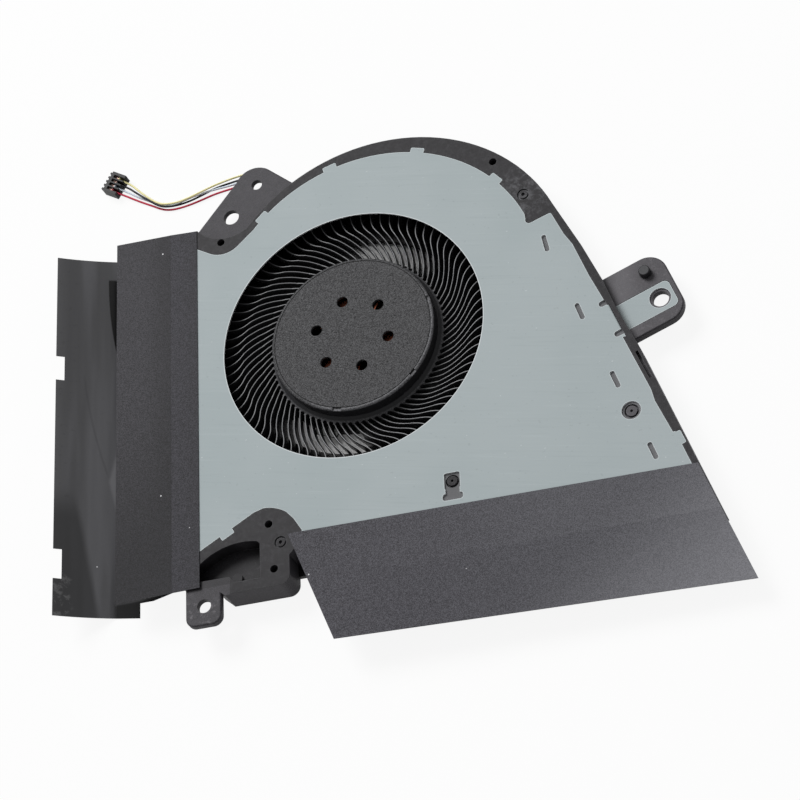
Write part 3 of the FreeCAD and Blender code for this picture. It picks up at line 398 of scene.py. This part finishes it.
def blade_finish():
    """Dark plastic: grained hub with a painted highlight at its lower right and painted shade in
    its groove, blades with painted highlights on their top edges.
    """
    s = Shader("rotor_plastic")
    grain = s.grains(0.12)
    radius, height = s.radius(), s.place("Z")

    hub = s.mix(grain, linear(20, 20, 21), linear(92, 92, 94))
    # Painted highlight on the hub's lower right outer edge.
    rim_highlight = s.product(s.ramp(radius, 17.18, 17.24), s.ramp(s.along(*TOWARD_HUB_HIGHLIGHT), 2.0, 9.0))
    hub = s.mix(rim_highlight, hub, s.mix(grain, linear(70, 70, 72), linear(128, 128, 131)))
    # Painted shade in the hub's groove.
    groove = s.product(s.ramp(height, 6.9, 6.96, 1.0, 0.0), s.band(radius, 17.03, 17.2, 0.04))
    hub = s.mix(groove, hub, linear(10, 10, 11))

    facing = s.facing_up(0.55, 0.85)
    wall = s.mix(s.ramp(radius, 18.0, 18.6, 1.0, 0.0), linear(36, 36, 38), linear(40, 40, 42))
    # Painted highlight on the blades' top edges, weaker near the root and fading toward the outer
    # ends, where the blades thin and the cover's shade falls.
    blade_highlight = s.product(facing, s.ramp(radius, 19.1, 19.4), s.ramp(radius, 19.5, 22.0, 0.5, 1.0),
                      s.ramp(radius, 25.2, 29.0, 1.0, 0.3),
                      s.ramp(beside_blades(s, radius), *BLADE_HIGHLIGHT_WIDTH, 1.0, 0.0))
    blades = s.mix(blade_highlight, wall, linear(152, 153, 155))
    on_root = s.product(facing, s.band(radius, 18.5, 19.3, 0.15))
    blades = s.mix(on_root, blades, s.mix(grain, linear(52, 52, 54), linear(92, 92, 94)))

    on_hub = s.product(s.ramp(radius, 17.9, 18.1, 1.0, 0.0), s.ramp(height, 6.4, 6.65))
    s.colour(s.mix(on_hub, blades, hub))
    s.roughness(s.ramp(on_hub, 0.0, 1.0, 0.3, 0.55))
    s.set(Specular_IOR_Level=0.1)
    s.relief(grain, 0.006, 0.05)
    return s


# ---- Films
FILM_SPECKS = ((-42.29, 28.68, 0.22), (-42.85, -29.45, 0.2), (-59.31, -40.39, 0.16),
               (-10.86, -53.31, 0.2), (-36.5, -38.0, 0.12), (22.0, -58.0, 0.12))
ALONG_X, ALONG_Y, TO_CORNER = (1.0, 0.0), (0.0, 1.0), (1.0, -1.2)
FREE_FILM_X = (-55.3, -54.7)
CREASE = (-61.46, -0.127, 0.00437)
REFLECTION_MIDDLE_Y = -20.5
WEDGE_Y = 28.5


def speckled(s, tone):
    """The tone with a few white dust specks at fixed places."""
    spots = None
    for x, y, radius in FILM_SPECKS:
        spot = s.ramp(s.away_from(x, y), radius * 0.6, radius, 1.0, 0.0)
        spots = spot if spots is None else s.math("MAXIMUM", spots, spot)
    return s.mix(spots, tone, linear(214, 214, 216))


def matt_film_finish(name, dark, pale, changes):
    """Matt black film; each change of tone has a direction, start, end, strength, dark and pale."""
    s = Shader(name)
    fine = s.grains(0.12)
    slow = s.noise(30.0, 2.0)
    tone = s.mix(fine, dark, pale)
    for direction, start, end, strength, darker, paler in changes:
        changed = s.ramp(s.along(*direction), start, end, 0.0, strength)
        tone = s.mix(changed, tone, s.mix(fine, darker, paler))
    tone = s.mix(s.ramp(slow, 0.3, 0.7, 0.0, 0.08), tone, pale)
    s.colour(speckled(s, tone))
    s.set(Roughness=0.5, Specular_IOR_Level=0.1)
    s.relief(fine, 0.006)
    return s


def glossy_film_finish():
    """Shiny black film with long soft waves and painted reflections along them, painted shade on a
    crease, and painted pale and dark reflections by the matt film.
    """
    s = Shader("glossy_film")
    x, y = s.place("X"), s.place("Y")
    waves = s.noise(5.0, 2.0, 0.5, s.stretched((1.0, 0.1, 1.0)))
    # Painted reflections: tone bands along the waves, which also give the bump.
    tone = s.mix(s.ramp(waves, 0.4, 0.66), linear(76, 76, 78), linear(90, 90, 93))
    tone = s.mix(s.ramp(x, -64.8, -67.4, 0.0, 0.6), tone, linear(96, 96, 98))
    shaded = s.product(s.ramp(s.along(1.0, 0.16), -67.9, -66.4, 0.75, 0.0),
                       s.ramp(y, -30.0, -21.0, 1.0, 0.0))
    tone = s.mix(shaded, tone, linear(40, 40, 41))
    smears = s.ramp(s.noise(1.2, 3.0, 0.7, s.stretched((0.35, 1.0, 1.0))), 0.56, 0.74, 0.0, 0.3)
    tone = s.mix(s.product(smears, s.ramp(x, -64.5, -62.0, 1.0, 0.2)), tone, linear(56, 56, 58))

    # Painted shade: a darker line along the crease.
    level, slope, bend = CREASE
    crease_x = s.math("ADD", s.product(y, y, bend), s.math("ADD", s.product(y, slope), level))
    crease_shade = s.product(s.band(s.math("SUBTRACT", x, crease_x), -0.1, 0.1, 0.3),
                        s.band(y, -19.0, 4.0, 1.5), 0.5)
    tone = s.mix(crease_shade, tone, linear(56, 56, 58))

    # Painted pale reflection beside the matt film, widening away from its middle.
    free = s.ramp(x, *FREE_FILM_X, 1.0, 0.0)
    from_reflection_middle = s.product(s.math("ABSOLUTE", s.math("SUBTRACT", y, REFLECTION_MIDDLE_Y)), 0.2)
    lifted_reflection = s.product(s.ramp(s.math("SUBTRACT", x, from_reflection_middle), -57.6, -56.7, 0.0, 0.75), free)
    tone = s.mix(lifted_reflection, tone, linear(116, 116, 119))
    worn = s.product(s.ramp(s.noise(1.6, 3.0, 0.7), 0.5, 0.7, 0.0, 0.5),
                     s.ramp(y, -44.0, -42.0, 1.0, 0.0), s.ramp(x, -65.0, -63.0, 1.0, 0.0))
    tone = s.mix(worn, tone, linear(120, 120, 121))
    # Painted dark reflection of the matt film's underside, along its edge.
    down = s.math("SUBTRACT", WEDGE_Y, y)
    bow = s.product(down, down, 0.005)
    dark_reflection = s.product(s.ramp(s.math("SUBTRACT", x, bow), -57.65, -57.4),
                      s.band(y, 7.5, 28.8, 0.3), free)
    tone = s.mix(dark_reflection, tone, linear(9, 9, 10))
    heel = s.product(s.ramp(x, -56.5, -55.5), s.ramp(y, -49.5, -48.0, 1.0, 0.0))
    tone = s.mix(heel, tone, linear(8, 8, 9))
    s.colour(speckled(s, tone))
    s.roughness(s.ramp(heel, 0.0, 1.0, 0.24, 0.8))
    s.set(Specular_IOR_Level=0.2)
    s.relief(waves, 0.25)
    return s


dress(housing_finish(), "housing")
dress(cover_finish(), "cover_plate")
dress(blade_finish(), "impeller")
# Upper left film: the darker stretch left of the fold is painted shade, and the pale line at the
# fold is a painted highlight on its ridge.
dress(matt_film_finish("matt_film", linear(20, 19, 22), linear(66, 65, 70),
                       ((ALONG_Y, -2.0, -46.0, 0.9, linear(6, 6, 7), linear(38, 37, 41)),
                        (ALONG_X, -48.0, -40.8, 0.7, linear(6, 6, 7), linear(42, 41, 45)),
                        (ALONG_X, -40.6, -40.3, 0.8, linear(20, 19, 22), linear(72, 71, 78)),
                        (ALONG_X, -39.5, -35.0, 0.3, linear(12, 12, 13), linear(54, 53, 57)))),
      "film_left_upper")
dress(matt_film_finish("matt_film_wide", linear(34, 33, 37), linear(90, 89, 95),
                       ((ALONG_X, 0.0, 50.0, 0.55, linear(78, 78, 82), linear(105, 105, 110)),
                        (TO_CORNER, 108.0, 168.0, 0.7,
                         linear(134, 134, 139), linear(157, 157, 162)))),
      "film_bottom")
dress(glossy_film_finish(), "film_left_lower")
dress(metal("yoke_steel", linear(170, 172, 175), 0.35), "rotor_yoke")
dress(moulded("magnet", linear(58, 58, 62), linear(80, 80, 84), 0.15, 0.6), "magnet_ring")
dress(metal("ground_steel", linear(205, 207, 210), 0.18), "shaft")
dress(metal("brass", linear(205, 175, 110), 0.3), "bearing_tube")
dress(metal("bronze", linear(150, 110, 75), 0.5), "bearing_sleeve")
dress(moulded("thrust_plastic", linear(205, 198, 182), linear(220, 214, 200), 0.2, 0.4),
      "thrust_plate", "retaining_washer")
dress(metal("lamination", linear(120, 122, 126), 0.45), "stator_core")
dress(metal("copper", linear(166, 98, 76), 0.32), *[f"coil_{k + 1}" for k in range(9)])
dress(moulded("board", linear(14, 24, 18), linear(24, 36, 28), 0.5, 0.3), "circuit_board")
dress(moulded("chip", linear(34, 34, 35), linear(46, 46, 48), 0.1, 0.45),
      "driver_chip", "hall_sensor", "resistor_1", "resistor_2")
dress(moulded("ceramic", linear(160, 128, 96), linear(182, 152, 120), 0.1, 0.4),
      "capacitor_1", "capacitor_2")
dress(moulded("plug_plastic", linear(12, 12, 13), linear(28, 28, 30), 0.15, 0.4, 0.004, 0.1),
      "plug_housing")


def add_object(name, data):
    obj = bpy.data.objects.new(name, data)
    bpy.context.scene.collection.objects.link(obj)
    return obj


# ---- Leads
LEAD_D = 0.45
LEAD_PITCH = 0.66
GROOVE_DEG = 110.0
GROOVE = ((15.8, 1.0, 0.975), (17.3, 1.0, 0.855), (19.4, 1.0, 0.40),
          (23.5, 1.0, 0.38), (31.0, 1.05, 0.38), (40.0, 1.0, 0.38))
PLUG_DEG = 148.0
PLUG_AT = Vector((-54.4, 52.0, 0.0))
PLUG_PITCH = 1.0
PLUG_DEPTHS = (-1.2, 1.5)
ENTRY_Z = 0.775
CRIMP_END = 1.95
LEADS = {
    "yellow": ((-15.1, 42.9, 0.38), (-18.2, 46.7, 0.4), (-22.6, 48.9, 0.42), (-26.9, 48.9, 0.5),
               (-32.1, 47.4, 1.26), (-35.2, 46.3, 1.51), (-38.3, 45.4, 1.43), (-41.4, 45.0, 1.16),
               (-44.4, 45.3, 0.98), (-46.2, 46.2, 0.89), (-48.3, 48.0, 0.84), (-50.4, 50.1, 0.91)),
    "black": ((-15.6, 42.6, 0.38), (-18.5, 46.2, 0.38), (-22.7, 48.3, 0.36), (-27.6, 47.8, 0.34),
              (-32.5, 47.2, 0.3), (-35.6, 46.1, 0.3), (-38.7, 45.1, 0.41), (-41.6, 44.5, 0.72),
              (-44.4, 44.6, 1.04), (-46.1, 45.4, 1.24), (-47.7, 46.8, 1.27), (-49.7, 48.5, 1.2),
              (-51.4, 50.1, 1.03)),
    "white": ((-16.2, 42.3, 0.38), (-18.9, 45.8, 0.4), (-22.8, 47.7, 0.45), (-28.4, 46.8, 0.55),
              (-32.5, 46.5, 0.82), (-36.9, 46.0, 0.87), (-39.5, 45.6, 0.58), (-42.0, 45.1, 0.36),
              (-44.7, 45.3, 0.3), (-46.9, 46.5, 0.3), (-48.5, 47.6, 0.34), (-50.0, 48.4, 0.45),
              (-51.5, 49.4, 0.65)),
    "red": ((-16.7, 42.0, 0.38), (-19.3, 45.3, 0.38), (-22.9, 47.1, 0.36), (-27.3, 46.2, 0.34),
            (-32.5, 45.7, 0.32), (-35.6, 44.9, 0.3), (-38.8, 44.2, 0.29), (-41.8, 43.9, 0.29),
            (-43.9, 44.1, 0.3), (-45.6, 44.8, 0.3), (-47.3, 45.9, 0.3), (-49.4, 47.1, 0.39),
            (-51.4, 48.3, 0.56)),
}
LEAD_LOOKS = {"yellow": (linear(240, 232, 172), linear(246, 240, 196)),
              "black": (linear(26, 26, 32), linear(58, 60, 68)),
              "white": (linear(214, 226, 238), linear(236, 242, 248)),
              "red": (linear(190, 44, 70), linear(216, 92, 114))}
MIDDLE = (len(LEADS) - 1) / 2


def turned(degrees):
    """Level direction at that angle, and the one across it."""
    a = math.radians(degrees)
    return Vector((math.cos(a), math.sin(a), 0.0)), Vector((-math.sin(a), math.cos(a), 0.0))


def lead_route(k, name):
    """Control points of one lead in millimetres, pad to plug."""
    outward, across = turned(GROOVE_DEG)
    side = across * ((k - MIDDLE) * LEAD_PITCH)
    points = [outward * r + side * spread + Vector((0, 0, z)) for r, spread, z in GROOVE]
    points += [Vector(p) for p in LEADS[name]]
    outward, across = turned(PLUG_DEG)
    for depth in PLUG_DEPTHS:
        place = PLUG_AT + outward * depth + across * ((k - MIDDLE) * PLUG_PITCH)
        points.append(place + Vector((0, 0, ENTRY_Z)))
    return points


def terminal_finish(name):
    """Tinned crimp with the lead's coloured insulation pressed up between its wings."""
    s = Shader(f"tin_{name}")
    outward, _ = turned(PLUG_DEG)
    end = PLUG_AT.dot(outward) + CRIMP_END
    tinned = s.ramp(s.along(outward.x, outward.y), end - 0.1, end + 0.1)
    s.colour(s.mix(tinned, LEAD_LOOKS[name][0], linear(176, 146, 136)))
    s.link(tinned, s.bsdf.inputs["Metallic"])
    s.set(Roughness=0.45, Specular_IOR_Level=0.2)
    s.relief(s.noise(0.2, 2.0), 0.002, 0.05)
    return s


def make_lead(k, name):
    """One insulated lead as a smooth curve, with its crimp's finish."""
    curve = bpy.data.curves.new(f"insulated_lead_{name}", "CURVE")
    curve.dimensions = "3D"
    curve.bevel_depth = LEAD_D / 2 * MM
    curve.bevel_resolution = 5
    curve.resolution_u = 10
    curve.use_fill_caps = True
    points = lead_route(k, name)
    spline = curve.splines.new("NURBS")
    spline.points.add(len(points) - 1)
    for point, place in zip(spline.points, points):
        point.co = (*(place * MM), 1.0)
    spline.order_u = 3
    spline.use_endpoint_u = True
    lead = add_object(f"insulated_lead_{name}", curve)
    base, pale = LEAD_LOOKS[name]
    curve.materials.append(moulded(f"lead_{name}", base, pale, 1.5, 0.45, 0.0005, 0.0).mat)
    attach(lead, "case")
    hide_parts(f"lead_{name}")
    dress(terminal_finish(name), f"plug_terminal_{k + 1}")


for k, name in enumerate(LEADS):
    make_lead(k, name)


# ---- Blade flanks
FLANK_FOOT_Z = 1.75
FLANK_TOP_Z = (3.2, 4.5)
FLANK_RISE_R = (21.5, 25.0)
FLANK_TAPER = 0.35
FLANK_STEP = 0.05
STATIONS = (19.2, 20.4, 21.5, 22.7, 23.9, 25.0, 25.5, 26.0, 26.6, 27.3, 28.2, 29.4, 30.6, 31.9)
FLANK = ((0.0, 0.62), (0.62, 0.5), (0.9, 0.36), (0.98, 0.2))


def blade_angle(r):
    """Sweep of an S-shaped blade in degrees at distance r millimetres from the axis."""
    start, first, second = LEAN
    inner = min(r, BEND_R) - BLADE_ROOT
    lean = first * inner + second * inner ** 2 + start
    if r <= BEND_R:
        return lean
    slope = first + 2.0 * second * inner
    return lean + slope * FADE * (1 - math.exp(-(r - BEND_R) / FADE))


def blade_place(r):
    a = math.radians(blade_angle(r))
    return Vector((r * math.cos(a), r * math.sin(a), 0.0))


def share_between(value, low, high):
    return min(max((value - low) / (high - low), 0.0), 1.0)


def blade_sections():
    """Cross-sections of one blade's drafted body, thick at its foot and thin at its top edge."""
    sections = []
    for r in STATIONS:
        top = FLANK_TOP_Z[0] + (FLANK_TOP_Z[1] - FLANK_TOP_Z[0]) * share_between(r, *FLANK_RISE_R)
        middle = blade_place(r)
        ahead = (blade_place(r + FLANK_STEP) - blade_place(r - FLANK_STEP)).normalized()
        across = Vector((-ahead.y, ahead.x, 0.0))
        taper = 1.0 - FLANK_TAPER * share_between(r, STATIONS[0], STATIONS[-1])
        ring = []
        for side, levels in ((1, FLANK), (-1, FLANK[::-1])):
            for share, width in levels:
                z = FLANK_FOOT_Z + (top - FLANK_FOOT_Z) * share
                ring.append(middle + across * (side * width * taper / 2) + Vector((0, 0, z)))
        sections.append(ring)
    return sections


def make_blade_flanks():
    """Drafted body of every blade, around the thin vane whose top edge carries the painted
    highlight.
    """
    sections = blade_sections()
    size = len(sections[0])
    points, faces = [], []
    for k in range(BLADE_N):
        turn = Matrix.Rotation(math.radians(360.0 / BLADE_N * k), 3, "Z")
        base = len(points)
        points += [turn @ p * MM for ring in sections for p in ring]
        for i in range(len(sections) - 1):
            for j in range(size):
                a, b = base + i * size + j, base + i * size + (j + 1) % size
                faces.append((a, b, b + size, a + size))
        faces.append(tuple(base + j for j in range(size))[::-1])
        last = base + (len(sections) - 1) * size
        faces.append(tuple(last + j for j in range(size)))
    mesh = bpy.data.meshes.new("blade_flanks")
    mesh.from_pydata(points, [], faces)
    mesh.update()
    flanks = add_object("blade_flanks", mesh)
    look = moulded("flank_plastic", linear(40, 40, 42), linear(52, 52, 54), 0.4, 0.3, 0.002, 0.0)
    mesh.materials.append(look.mat)
    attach(flanks, "rotor")


make_blade_flanks()


# ---- Stage, light and camera, in metres
WHITE = (1.0, 1.0, 1.0, 1.0)
FLOOR_SIZE = 6.0
FLOOR_Z = -0.00002
FLOOR_PAINT = (0.86, 0.86, 0.86, 1.0)
OPEN_SHARE = 0.9
FRONT_SHARE = 0.06
WORLD_LIGHT = 0.28
LIGHT_TARGET = Vector((0.005, -0.005, 0.004))
LIGHT_FROM = Vector((-0.45, 0.54, 0.71))
LIGHT_DISTANCE = 2.0
LIGHT_SIZE = 1.0
LIGHT_POWER = 40.0
CAMERA_ANGLES = (29.221, 57.238, -36.104)
CAMERA_TARGET = Vector((9.828, -17.788, 7.0)) * MM
CAMERA_DISTANCE = 633.116 * MM
SENSOR = 36.0
FOCAL_PIXELS = 3100.0
IMAGE_PIXELS = 800.0


def make_stage():
    """Pale floor, evenly white where it is open and in plain shade under the case's windows."""
    mesh = bpy.data.meshes.new("floor")
    h = FLOOR_SIZE / 2
    mesh.from_pydata([(-h, -h, FLOOR_Z), (h, -h, FLOOR_Z), (h, h, FLOOR_Z), (-h, h, FLOOR_Z)],
                     [], [(0, 1, 2, 3)])
    floor = add_object("floor", mesh)
    s = Shader("floor")
    outside_rotor = s.ramp(s.radius(), 29.0, 33.0)
    front = s.ramp(s.place("Y"), -14.0, 14.0, FRONT_SHARE, 0.0)
    share = s.math("ADD", front, s.product(outside_rotor, s.math("SUBTRACT", OPEN_SHARE, front)))
    s.set(Base_Color=FLOOR_PAINT, Roughness=1.0, Specular_IOR_Level=0.0)
    glow = s.add("ShaderNodeEmission")
    glow.inputs["Strength"].default_value = 1.0
    out = next(node for node in s.tree.nodes if node.type == "OUTPUT_MATERIAL")
    s.link(s.camera_white(glow.outputs[0], s.bsdf.outputs[0], share), out.inputs[0])
    floor.data.materials.append(s.mat)


def make_world():
    """Even light from all round, seen as white."""
    world = bpy.data.worlds.new("studio")
    bpy.context.scene.world = world
    world.use_nodes = True
    nodes = Nodes(world.node_tree)
    nodes.tree.nodes.clear()
    out = nodes.add("ShaderNodeOutputWorld")
    looks = []
    for strength in (1.0, WORLD_LIGHT):
        node = nodes.add("ShaderNodeBackground")
        node.inputs["Color"].default_value = WHITE
        node.inputs["Strength"].default_value = strength
        looks.append(node.outputs[0])
    nodes.link(nodes.camera_white(*looks, 1.0), out.inputs[0])


def make_light():
    """Large soft lamp, high behind the left side."""
    light = bpy.data.lights.new("key_light", "AREA")
    light.shape = "RECTANGLE"
    light.size, light.size_y = LIGHT_SIZE, LIGHT_SIZE
    light.energy = LIGHT_POWER
    lamp = add_object("key_light", light)
    away = LIGHT_FROM.normalized()
    lamp.location = LIGHT_TARGET + away * LIGHT_DISTANCE
    lamp.rotation_mode = "QUATERNION"
    lamp.rotation_quaternion = away.to_track_quat("Z", "Y")


def make_camera():
    """Photograph's viewpoint: azimuth, elevation and roll about the view axis."""
    azimuth, elevation, roll = (math.radians(v) for v in CAMERA_ANGLES)
    back = Vector((math.sin(azimuth) * math.cos(elevation),
                   -math.cos(azimuth) * math.cos(elevation), math.sin(elevation)))
    right = (-back).cross(Vector((0, 0, 1))).normalized()
    up = right.cross(-back)
    x = right * math.cos(roll) + up * math.sin(roll)
    y = up * math.cos(roll) - right * math.sin(roll)
    data = bpy.data.cameras.new("camera")
    data.sensor_width = SENSOR
    data.lens = FOCAL_PIXELS / IMAGE_PIXELS * SENSOR
    data.clip_start, data.clip_end = 0.05, 20.0
    camera = add_object("camera", data)
    turn = Matrix((x, y, back)).transposed()
    place = Matrix.Translation(CAMERA_TARGET + back * CAMERA_DISTANCE)
    camera.matrix_world = place @ turn.to_4x4()
    bpy.context.scene.camera = camera


make_stage()
make_world()
make_light()
make_camera()
bpy.context.scene.view_settings.view_transform = "Standard"
